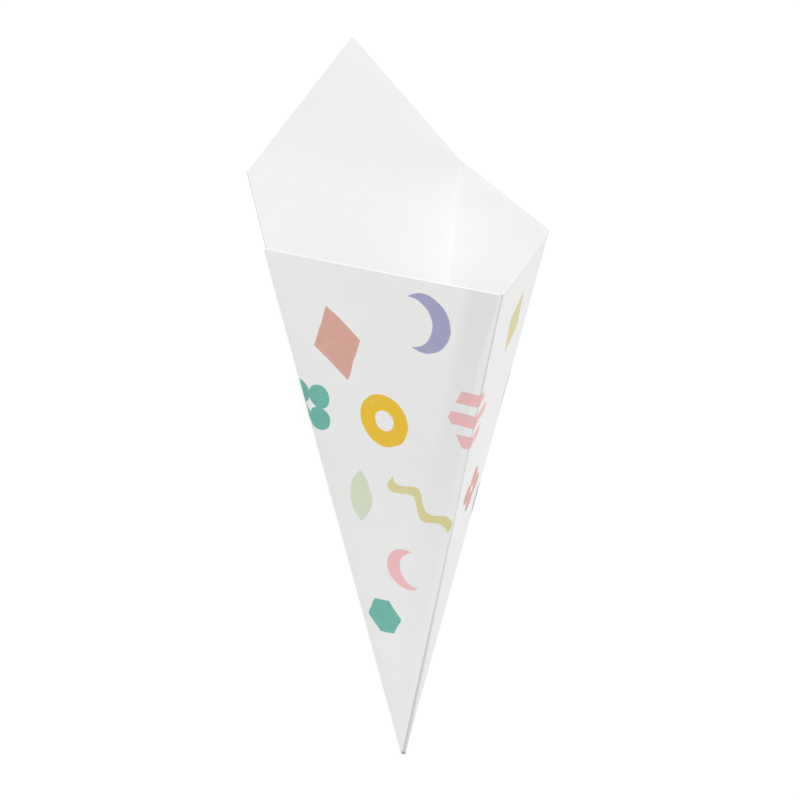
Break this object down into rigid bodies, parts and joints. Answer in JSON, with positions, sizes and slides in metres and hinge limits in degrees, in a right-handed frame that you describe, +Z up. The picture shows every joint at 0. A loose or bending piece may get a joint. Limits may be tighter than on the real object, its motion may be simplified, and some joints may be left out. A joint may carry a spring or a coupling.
{
  "type": "paper food cone",
  "caption": "Folded board food cone with an open mouth, a level front rim, a tall pointed back panel and a glued side seam.",
  "frame": {"origin": "on the outer face of the back panel, on its centre line, halfway between the cut tip and the peak", "axes": "+Y along the back panel from the tip to the peak, +Z up from the surface it lies on, through the cone"},
  "size_m": [0.1108, 0.2818, 0.0952],
  "materials": {
    "printed_board": "smooth matte white board, printed outside, bare inside"
  },
  "bodies": {
    "root": {"cone_sheet": "printed_board"}
  },
  "joints": []
}
